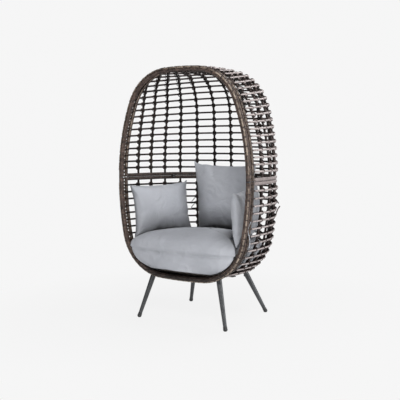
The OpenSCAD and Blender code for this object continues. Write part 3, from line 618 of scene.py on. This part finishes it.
# Ribs and strands
twist = [1.0, 1.1]
full_twist = [1.12, 1.24]
twist_lean = 0.25
for half, stops, gather, outer in (("upper", upper_stops, rib_gather, upper_outer),
                                   ("lower", lower_stops, 1, lower_outer)):
    ribs = wound(half + "_rib_winding", rib_lines(stops, gather), rib_r, rod_turn, twist, 3, twist_lean)
    finish_piece(ribs, "shell", rib_brown, [half + "_ribs"])
    strands = wound(half + "_strand_winding", [round_the_shell(v) for v in outer], strand_r, rod_turn,
                    full_twist, 2, twist_lean)
    finish_piece(strands, "shell", strand_pale, [half + "_strands"])

# Crossed bindings where a strand passes over a rib
binding_reach = 0.014
binding_w = 0.0072
binding_share = 0.17
binding_slant = 0.85
binding_proud = 0.0018
clear_of_hoop = 3


def crossings(levels, outer, gather):
    """At each crossing: the rods' two middles, the way out, and the strand's and the rib's directions."""
    for v, over_level in zip(levels, outer):
        end = end_angle(v)
        for j in range(ribs_per_side):
            t = rib_angle(v, j, gather)
            if t < end + clear_of_hoop:
                continue
            for angle in (t, 180 - t):
                inner, over = on_level(v, angle), on_level(over_level, angle)
                along = (on_level(v, angle + 1) - on_level(v, angle - 1)).normalized()
                out = (over - inner).normalized()
                out = (out - out.dot(along) * along).normalized()
                yield inner, over, out, along, out.cross(along)


half_depth = rib_r + strand_r + gap / 2 + binding_proud
for half, levels, outer, gather in (("upper", upper_levels, upper_outer, rib_gather),
                                    ("lower", lower_levels, lower_outer, 1)):
    paler = binding_pale if half == "upper" else binding_grey
    for turn, name, material in ((1, "_first_bindings", paler), (-1, "_second_bindings", rib_brown)):
        places = []
        for inner, over, out, along, up in crossings(levels, outer, gather):
            middle = (inner - out * rib_r + over + out * strand_r) / 2
            cross = (binding_slant * along + turn * up).normalized()
            basis = Matrix((cross * binding_reach, out * half_depth, out.cross(cross))).transposed()
            places.append(Matrix.Translation(middle) @ basis.to_4x4())
        bindings = copies(half + name, band(binding_w, binding_share), places)
        finish_piece(bindings, "shell", material)

# Strip that lies along the rim and the hoop, a hair above their windings
leader_lift = 0.0004


def along_rim(line, y, radius, step, angles, start=0.012):
    """Places on a rim's surface at the given angles from straight ahead, every step along it."""
    p = evenly(round_the_rim(line, y, start), step)
    for i in range(1, len(p) - 1):
        t = Vector(p[i + 1] - p[i - 1]).normalized()
        ahead = Vector((0, -1, 0))
        side = t.cross(ahead).normalized()
        for angle in angles:
            out = (ahead * cosd(angle) + side * sind(angle)).normalized()
            basis = Matrix((t, out.cross(t), out)).transposed()
            yield Matrix.Translation(Vector(p[i]) + out * (radius + leader_lift)) @ basis.to_4x4()


# The leader strip faces forward and outward, and further outward along the bottom
leader_turn = 32
bottom_leader_turn = 50
bottom_top = rim_bottom + 0.11
upper_leader_step = 0.052
lower_leader_step = 0.036
leader_share = 0.84
leader_w = 0.0085
leader_t = 0.0018
side_leader_turns = (58, -58, 116, -116)
side_leader_start = 0.03
side_leader_w = 0.0055
hoop_leader_turns = (40, -40, 180)
hoop_leader_start = 0.02
hoop_leader_w = 0.0042
side_leader_t = 0.0014
gap_shadow_step = 0.036
gap_shadow_turn = 24
gap_shadow_size = (0.008, 0.0052, 0.0034)
for half, line, step, outward in (("upper", rim_up, upper_leader_step, 1),
                                  ("lower", rim_low, lower_leader_step, -1)):
    facing = outward * leader_turn
    low_facing = outward * bottom_leader_turn
    length = step * leader_share
    front = [p for p in along_rim(line, 0, rim_r, step, (facing,)) if p.translation.z > bottom_top]
    front += [p for p in along_rim(line, 0, rim_r, step, (low_facing,)) if p.translation.z <= bottom_top]
    dashes = copies(half + "_rim_leader", dash(length, leader_w, leader_t), front)
    finish_piece(dashes, "shell", leader)
    around = [facing + turn for turn in side_leader_turns]
    sides = list(along_rim(line, 0, rim_r, step, around, side_leader_start))
    dashes = copies(half + "_rim_side_leader", dash(length, side_leader_w, side_leader_t), sides)
    finish_piece(dashes, "shell", rim_brown)
    sides = list(along_rim(line, hoop_back, hoop_r, step, hoop_leader_turns, hoop_leader_start))
    dashes = copies(half + "_hoop_leader", dash(length, hoop_leader_w, side_leader_t), sides)
    finish_piece(dashes, "shell", leader if half == "upper" else hoop_brown)
    # Painted shade: small black dashes on either side of the leader strip stand for the shade in gaps of the
    # winding
    dots = list(along_rim(line, 0, rim_r, gap_shadow_step, (facing + gap_shadow_turn,)))
    dots += list(along_rim(line, 0, rim_r, gap_shadow_step, (facing - gap_shadow_turn,), side_leader_start))
    gap_shadows = copies(half + "_rim_gap_shadows", dash(*gap_shadow_size), dots)
    finish_piece(gap_shadows, "shell", gap_shadow_black)

# Bands that tie the ends of the strands to the hoop
end_band_r = hoop_r + 0.0008
end_band_w = 0.009
end_band_share = 0.1
for half, levels in (("upper", upper_levels), ("lower", lower_levels)):
    places = []
    for v in levels:
        end = end_angle(v)
        for angle in (end, 180 - end):
            p = on_level(v, angle)
            spot = Vector((p.x, rim_y + hoop_back, p.z))
            ahead = Vector((0, 1, 0))
            outward = Vector((p.x, 0, (p.z - seam_z) * 0.5)).normalized()
            t = ahead.cross(outward)
            basis = Matrix((outward * end_band_r, ahead * end_band_r, t)).transposed()
            places.append(Matrix.Translation(spot) @ basis.to_4x4())
    ends = copies(half + "_strand_ends", band(end_band_w, end_band_share, 14), places)
    finish_piece(ends, "shell", rib_brown)

# Ties between the rim and the second hoop, wound with strip
tie_r = 0.004
tie_turn = 0.005
tie_middle = 0.025
sunk = 0.001
corner = rim_low[1]
front_joint = (corner[0][0] + corner[1] * cosd(front_leg_turn),
               corner[0][1] - corner[1] * sind(front_leg_turn))
low_ties = int((length_of(rim_low) - low_first_rim) / rim_low_pitch)
for half, line, first, pitch, count in (("upper", rim_up, first_rim, rim_pitch, upper_rows),
                                        ("lower", rim_low, low_first_rim, rim_low_pitch, low_ties)):
    paths = []
    for k in range(count):
        x, z = point_on(line, first + pitch * k)
        if math.dist((x, z), front_joint) < leg_top_r + 2 * tie_r:
            continue
        for side in (1, -1):
            reach = (rim_r - sunk, tie_middle, hoop_back - hoop_r + sunk)
            paths.append([(side * x, rim_y + y, z) for y in reach])
    ties = wound(half + "_tie_winding", paths, tie_r, tie_turn, twist, 2)
    finish_piece(ties, "shell", rib_brown, [half + "_rim_ties"])


def lacing_places(line, s, ahead, lean=0.0):
    """On both sides, the place of a flat strip that crosses from the rim to the hoop."""
    a, b = point_on(line, s), point_on(line, s + ahead)
    for side in (1, -1):
        t = Vector((side * (b[0] - a[0]), 0, b[1] - a[1])).normalized()
        across = (Vector((0, 1, 0)) + lean * t).normalized()
        t = (t - t.dot(across) * across).normalized()
        basis = Matrix((across, t, across.cross(t))).transposed()
        middle = Vector((side * a[0], rim_y + hoop_back / 2, a[1]))
        yield Matrix.Translation(middle) @ basis.to_4x4()


# Flat lacing that closes the gap between the rim and the hoop along the bottom
lacing_l = hoop_back - rim_r
lacing_t = 0.0016
lacing_room = 0.03
nudge = 0.001
bottom_lacing_step = 0.0072
bottom_lacing_w = 0.0066
places = []
for step in range(int((front_joint[0] - lacing_room) / bottom_lacing_step)):
    places += lacing_places(rim_low, length_of(rim_low) - bottom_lacing_step * step, -nudge)
lacing = copies("rim_bottom_lacing", dash(lacing_l, bottom_lacing_w, lacing_t), places)
finish_piece(lacing, "shell", hoop_brown)

# Wider strips with small holes between them close the same gap round the sides and the top
lacing_step = 0.0195
lacing_start = 0.0085
lacing_w = 0.0135
lacing_lean = 0.12
socket_room = 0.01
for half, line, last in (("upper", rim_up, length_of(rim_up)),
                         ("lower", rim_low, length_of(rim_low) - front_joint[0] + lacing_room)):
    places = []
    for k in range(int((last - lacing_start) / lacing_step)):
        s = lacing_start + lacing_step * k
        if math.dist(point_on(line, s), front_joint) < leg_top_r + socket_room:
            continue
        places += lacing_places(line, s, nudge, lacing_lean if k % 2 else -lacing_lean)
    lacing = copies(half + "_rim_lacing", dash(lacing_l, lacing_w, lacing_t), places)
    finish_piece(lacing, "shell", hoop_brown)

# Rod that binds the apron to the hoop
apron_reach = 0.27
apron_rod_r = 0.0045
apron_rod_in = 0.003
apron_rod_back = 0.005
apron_foot = []
for s in np.linspace(length_of(rim_low) - apron_reach, length_of(rim_low), 20):
    x, z = point_on(rim_low, s, -hoop_r - apron_rod_in)
    apron_foot.append((x, rim_y + hoop_back + apron_rod_back, z))
apron_foot += [(-x, y, z) for x, y, z in reversed(apron_foot[:-1])]
binding = wound("apron_binding", [apron_foot], apron_rod_r, rod_turn, winding, 3, winding_lean)
finish_piece(binding, "shell", hoop_brown)

# Herringbone net on the apron, under the front of the seat cushion
stitch_y = rim_y + lattice_y - deck_t + 0.0006
stitch_size = (0.0078, 0.0012, 0.0017)
stitch_turn = 38
stitch_column = 0.0085
stitch_row = 0.0055
first_stitch = 0.006
stitch_room = 0.003
half_columns = 34
places = []
for row in range(16):
    z = ring_level[1] - first_stitch - stitch_row * row
    for column in range(-half_columns, half_columns + 1):
        x = column * stitch_column
        p = point_on(rim_low, length_of(rim_low) - abs(x))
        if z < p[1] + hoop_r + stitch_room:
            continue
        turn = stitch_turn if (column + row // 2) % 2 else -stitch_turn
        tilt = Matrix.Rotation(math.radians(turn), 4, "Y")
        places.append(Matrix.Translation((x, stitch_y, z)) @ tilt)
stitches = copies("apron_net", dash(*stitch_size), places)
finish_piece(stitches, "shell", net_strip)

# Loose ends of strip that show in the photograph
loose_turn = 0.01
loose_shape = [0.96, 1.0]


def strip_end(name, points, radius, material):
    """A loose end along points that are measured from the rim's plane."""
    path = [(x, y + rim_y, z) for x, y, z in points]
    finish_piece(wound(name, [path], radius, loose_turn, loose_shape, 2), "shell", material)


strip_end("side_strip_end", [(0.395, 0.43, 0.628), (0.403, 0.42, 0.643), (0.413, 0.42, 0.666),
                             (0.426, 0.42, 0.684)], 0.0042, strand_pale)
strip_end("side_strip_tip", [(0.394, 0.43, 0.722), (0.403, 0.42, 0.716), (0.417, 0.42, 0.700)], 0.0036,
          rib_brown)
strip_end("back_twist", [(-0.268, 0.57, 0.708), (-0.297, 0.543, 0.655), (-0.270, 0.568, 0.668),
                         (-0.294, 0.545, 0.627), (-0.273, 0.565, 0.624)], 0.0022, rib_brown)

# Cushions: the CAD form, smoothed, stuffed by a cloth simulation and laid against its neighbours


def apply(obj, kind, **settings):
    bpy.context.view_layer.objects.active = obj
    modifier = obj.modifiers.new(kind.lower(), kind)
    for key, value in settings.items():
        setattr(modifier, key, value)
    bpy.ops.object.modifier_apply(modifier=modifier.name)


def deck_height(p):
    """Height over the seat deck's middle plane."""
    return (p[2] - ring_level[1]) * cosd(base_tilt) + (p[1] - rim_y) * sind(base_tilt)


seam_height = deck_t / 2 + gap + seat_edge_h
at_seam = 0.0004
seam_sharpness = 0.75
corner_sharpness = 0.9


def on_seat_seam(p):
    return abs(deck_height(p) - seam_height) < at_seam


def coordinates(obj):
    co = np.empty(len(obj.data.vertices) * 3)
    obj.data.vertices.foreach_get("co", co)
    return co.reshape(-1, 3)


def normals_of(obj):
    normals = np.empty(len(obj.data.vertices) * 3)
    obj.data.vertices.foreach_get("normal", normals)
    return normals.reshape(-1, 3)


def sink(obj, depth):
    """Draw each point in along its normal by its own depth."""
    co = coordinates(obj) - normals_of(obj) * depth[:, None]
    obj.data.vertices.foreach_set("co", co.ravel())
    obj.data.update()


def smooth_form(node):
    """The CAD cushion as smooth quads that keep its full reach, with its outermost corners kept sharp."""
    obj = new_object(node + "_cover", nodes[node].data.copy())
    bm = bmesh.new()
    bm.from_mesh(obj.data)
    bmesh.ops.remove_doubles(bm, verts=bm.verts, dist=1e-5)
    bmesh.ops.join_triangles(bm, faces=bm.faces, angle_face_threshold=math.radians(40),
                             angle_shape_threshold=math.radians(60))
    sharp = bm.verts.layers.float.new("crease_vert")
    folded = bm.edges.layers.float.new("crease_edge")
    if node == "seat_cushion":
        for edge in bm.edges:
            edge[folded] = seam_sharpness * all(on_seat_seam(v.co) for v in edge.verts)
    else:
        middle = sum((v.co for v in bm.verts), Vector()) / len(bm.verts)
        for v in sorted(bm.verts, key=lambda v: -(v.co - middle).length)[:4]:
            v[sharp] = corner_sharpness
    bmesh.ops.recalc_face_normals(bm, faces=bm.faces)
    bm.to_mesh(obj.data)
    bm.free()
    obj.data.materials.clear()
    # Subdivision draws a form in, so its points are first moved out by as much
    trial = obj.copy()
    trial.data = obj.data.copy()
    bpy.context.scene.collection.objects.link(trial)
    apply(trial, "SUBSURF", levels=1)
    wanted = coordinates(obj)
    drawn_in = coordinates(trial)[:len(wanted)]
    obj.data.vertices.foreach_set("co", (2 * wanted - drawn_in).ravel())
    bpy.data.objects.remove(trial)
    apply(obj, "SUBSURF", levels=1)
    return obj


def tree_of(obj):
    bm = bmesh.new()
    bm.from_mesh(obj.data)
    tree = BVHTree.FromBMesh(bm)
    bm.free()
    return tree


def stuff(obj, cap, spare):
    """Some frames of cloth under pressure, with spare cloth and each point's movement capped."""
    frames = 20
    before = coordinates(obj)
    cloth = obj.modifiers.new("stuffing", "CLOTH")
    cloth.settings.quality = 3
    cloth.settings.mass = 0.3
    cloth.settings.tension_stiffness = 12
    cloth.settings.compression_stiffness = 8
    cloth.settings.shear_stiffness = 5
    cloth.settings.bending_stiffness = 0.4
    cloth.settings.shrink_min = -spare
    cloth.settings.use_pressure = True
    cloth.settings.uniform_pressure_force = 4
    cloth.settings.effector_weights.gravity = 0
    cloth.collision_settings.use_collision = False
    cloth.point_cache.frame_start = 1
    cloth.point_cache.frame_end = frames
    for step in range(frames):
        bpy.context.scene.frame_set(step + 1)
    bpy.context.view_layer.objects.active = obj
    bpy.ops.object.modifier_apply(modifier=cloth.name)
    bpy.context.scene.frame_set(1)
    move = coordinates(obj) - before
    size = np.linalg.norm(move, axis=1)[:, None]
    move *= np.minimum(1, cap / np.maximum(size, 1e-9))
    obj.data.vertices.foreach_set("co", (before + move).ravel())


def keep_clear(obj, other, clearance):
    """Push points that lie inside another soft piece back out to its surface."""
    deepest = 0.06
    for v in obj.data.vertices:
        near, normal, face, away = other.find_nearest(v.co, deepest)
        if near is not None and (v.co - near).dot(normal) < clearance:
            v.co = near + normal * clearance


def keep_within(obj, form, proud):
    """Pull points that stand too proud of the CAD form back to it."""
    for v in obj.data.vertices:
        near, normal, face, away = form.find_nearest(v.co)
        if (v.co - near).dot(normal) > proud:
            v.co = near + normal * proud


def press_line(obj, points, width, depth):
    """A sewn line: the cover is drawn in along it."""
    line = KDTree(len(points))
    for i, p in enumerate(points):
        line.insert(p, i)
    line.balance()
    away = np.array([line.find(p)[2] for p in coordinates(obj)])
    sink(obj, depth * np.exp(-(away / width) ** 2))


def crease(obj, seed, count, reach, width, depth):
    """Creases that run in from a pillow's seam towards its middle and fade out on the way."""
    draw = np.random.default_rng(seed)
    co = coordinates(obj)
    middle = co.mean(axis=0)
    axes = np.linalg.eigh(np.cov((co - middle).T))[1]
    flat = (co - middle) @ axes[:, 1:]
    if axes[2, 2] < 0:
        flat[:, 1] *= -1
    angle = np.arctan2(flat[:, 1], flat[:, 0])
    radius = np.linalg.norm(flat, axis=1)
    sectors = 48
    reached = np.zeros(sectors)
    np.maximum.at(reached, ((angle + math.pi) / (2 * math.pi) * sectors).astype(int) % sectors, radius)
    bearings = (np.arange(sectors) + 0.5) / sectors * 2 * math.pi - math.pi
    filled = reached > 0
    share = radius / np.interp(angle, bearings[filled], reached[filled], period=2 * math.pi)
    drawn = np.zeros(len(co))
    for i in range(count):
        at = 2 * math.pi * (i + draw.uniform(0.1, 0.9)) / count - math.pi
        start = 1 - reach * draw.uniform(0.5, 1.0)
        wide = width * draw.uniform(0.7, 1.3)
        deep = depth * draw.uniform(0.4, 1.0)
        bend = draw.uniform(-0.25, 0.25)
        along = np.clip((share - start) / (1 - start), 0, 1)
        turned = angle - at - bend * (1 - along)
        across = radius * np.sin(turned)
        ahead = np.cos(turned) > 0
        drawn += ahead * deep * along ** 1.3 * np.exp(-(across / wide) ** 2)
    # Next to the seam they stay shallow, so the outline isn't notched
    seam_band = 0.14
    shallowest = 0.06
    sink(obj, drawn * np.clip((1.01 - share) / seam_band, shallowest, 1))


def crumple_pillow(obj, seed):
    """Many short puckers along the seam, and a few long creases."""
    crease(obj, seed, count=30, reach=0.28, width=0.008, depth=0.005)
    crease(obj, seed + 50, count=9, reach=0.7, width=0.016, depth=0.009)


def make_cushion(node, cap, spare, proud, neighbours=()):
    """One cushion: its smooth form, stuffed, held to the CAD form and laid clear of its neighbours."""
    obj = smooth_form(node)
    form = tree_of(obj)
    stuff(obj, cap, spare)
    keep_within(obj, form, proud)
    apply(obj, "SUBSURF", levels=1)
    for other in neighbours:
        keep_clear(obj, other, clear_of_cloth)
    return obj


def cover(obj, node):
    """Paint a finished cushion and put it in its solid's place."""
    obj.data.polygons.foreach_set("use_smooth", np.ones(len(obj.data.polygons), bool))
    finish_piece(obj, node, fabric, [node])


# The seat's sewn line follows the CAD form's edge, and hangs lower in front
seat_middle = 0.4 * shell_d
seam_ring = {}
for v in nodes["seat_cushion"].data.vertices:
    if on_seat_seam(v.co):
        seam_ring[round(math.atan2(v.co.y - rim_y - seat_middle, v.co.x), 4)] = Vector(v.co)
seat_seam = [seam_ring[a] for a in sorted(seam_ring)]
fold_drop = 0.018
fold_start = 0.1
fold_run = 0.15
fold_line = []
for p in evenly(seat_seam + seat_seam[:1], 0.004):
    ahead = max(rim_y + fold_start - p[1], 0) / fold_run
    fold_line.append(Vector(p) - Vector((0, 0, fold_drop * min(ahead, 1))))

pillow_cap = 0.009
pillow_spare = 0.05
pillow_proud = 0.004
clear_of_cloth = 0.0004
seat = make_cushion("seat_cushion", cap=0.006, spare=0.01, proud=0.001)
press_line(seat, fold_line, width=0.008, depth=0.009)
cover(seat, "seat_cushion")
under = [tree_of(seat)]
for node, seed in (("back_pillow", 3), ("left_pillow", 5), ("right_pillow", 8)):
    pillow = make_cushion(node, pillow_cap, pillow_spare, pillow_proud, under)
    crumple_pillow(pillow, seed)
    cover(pillow, node)
    if node == "back_pillow":
        under.append(tree_of(pillow))

# Cushion tie that shows outside the rim on the right
strip_end("cushion_tie", [(0.444, 0.03, 0.629), (0.4255, 0.03, 0.583), (0.4325, 0.03, 0.548),
                          (0.4375, 0.03, 0.516), (0.4345, 0.03, 0.483)], 0.003, fabric)

# Camera at the photograph's place, measured from the rim's plane
camera = bpy.data.objects.new("camera", bpy.data.cameras.new("camera"))
bpy.context.scene.collection.objects.link(camera)
camera_place = (2.411, -3.515 + rim_y, 1.107)
camera_turn = 33
camera_tilt = 5.04
camera.location = camera_place
camera.rotation_euler = (math.radians(90 - camera_tilt), 0, math.radians(camera_turn))
camera.data.sensor_width = 36
camera.data.lens = 66.24
bpy.context.scene.camera = camera

# Studio: a pale floor that fades into a white room with a cool ceiling, and soft lamps
bpy.context.scene.view_settings.view_transform = "Standard"
backdrop_white = (0.92, 0.92, 0.92, 1)
floor_white = (0.86, 0.86, 0.86, 1)
room_light = 0.17
horizon = (1, 1, 1)
zenith = (0.44, 0.475, 0.64)


def floor_material():
    """White to the camera and in gloss, with a little of the lit floor and its shadow near the chair."""
    mat = bpy.data.materials.new("studio_floor")
    mat.use_nodes = True
    tree = mat.node_tree
    link = tree.links.new
    tree.nodes.clear()
    out = tree.nodes.new("ShaderNodeOutputMaterial")
    lit = put(tree, "ShaderNodeBsdfPrincipled", Roughness=0.3)
    lit.inputs["Base Color"].default_value = floor_white
    glow = put(tree, "ShaderNodeEmission", Strength=1.0)
    glow.inputs["Color"].default_value = backdrop_white
    rays = tree.nodes.new("ShaderNodeLightPath")
    seen = math_node(tree, "MAXIMUM", rays.outputs["Is Camera Ray"], rays.outputs["Is Glossy Ray"])
    place = put(tree, "ShaderNodeTexCoord").outputs["Object"]
    far = put(tree, "ShaderNodeVectorMath", operation="LENGTH")
    link(place, far.inputs[0])
    fade = put(tree, "ShaderNodeMapRange", From_Min=0.5, From_Max=1.6, To_Min=0.93, To_Max=1.0)
    link(far.outputs["Value"], fade.inputs["Value"])
    share = math_node(tree, "MULTIPLY", seen, fade.outputs["Result"])
    mix = tree.nodes.new("ShaderNodeMixShader")
    link(share, mix.inputs["Fac"])
    link(lit.outputs[0], mix.inputs[1])
    link(glow.outputs[0], mix.inputs[2])
    link(mix.outputs[0], out.inputs["Surface"])
    return mat


floor_mesh = bpy.data.meshes.new("studio_floor")
bm = bmesh.new()
bmesh.ops.create_grid(bm, x_segments=1, y_segments=1, size=14)
bm.to_mesh(floor_mesh)
bm.free()
floor_mesh.materials.append(floor_material())
new_object("studio_floor", floor_mesh)

world = bpy.data.worlds.new("studio")
bpy.context.scene.world = world
world.use_nodes = True
tree = world.node_tree
tree.nodes.clear()
out = tree.nodes.new("ShaderNodeOutputWorld")
room = put(tree, "ShaderNodeBackground", Strength=room_light)
sky = put(tree, "ShaderNodeTexCoord").outputs["Generated"]
split = tree.nodes.new("ShaderNodeSeparateXYZ")
tree.links.new(sky, split.inputs[0])
dome = ramp(tree, split.outputs["Z"], [(0.0, horizon), (0.9, zenith)])
tree.links.new(dome, room.inputs["Color"])
backdrop = put(tree, "ShaderNodeBackground", Strength=1.0)
backdrop.inputs["Color"].default_value = backdrop_white
rays = tree.nodes.new("ShaderNodeLightPath")
seen = math_node(tree, "MAXIMUM", rays.outputs["Is Camera Ray"], rays.outputs["Is Transmission Ray"])
mix = tree.nodes.new("ShaderNodeMixShader")
tree.links.new(seen, mix.inputs["Fac"])
tree.links.new(room.outputs[0], mix.inputs[1])
tree.links.new(backdrop.outputs[0], mix.inputs[2])
tree.links.new(mix.outputs[0], out.inputs["Surface"])


def softbox(name, place, target, size, power, tint=(1, 1, 1)):
    """A round soft lamp that the camera doesn't see."""
    lamp = bpy.data.lights.new(name, "AREA")
    lamp.color = tint
    lamp.shape = "DISK"
    lamp.size = size
    lamp.energy = power
    obj = bpy.data.objects.new(name, lamp)
    bpy.context.scene.collection.objects.link(obj)
    obj.visible_camera = False
    obj.location = place
    obj.rotation_euler = (Vector(target) - Vector(place)).to_track_quat("-Z", "Y").to_euler()


softbox("key", (2.1, -3.0, 3.1), (0, 0, 0.6), size=1.1, power=118, tint=(1, 0.985, 0.95))
softbox("fill", (0.1, -1.75, 0.22), (0, -0.3, 0.36), size=0.7, power=3.8, tint=(1, 0.99, 0.96))
softbox("side", (3.8, 0.9, 1.3), (0, 0, 0.8), size=2.0, power=90)
softbox("top", (0.9, 0.5, 3.4), (0, 0, 1.4), size=1.2, power=26)
softbox("back", (0.4, 3.4, 2.6), (0, 0, 0.9), size=2.4, power=42)
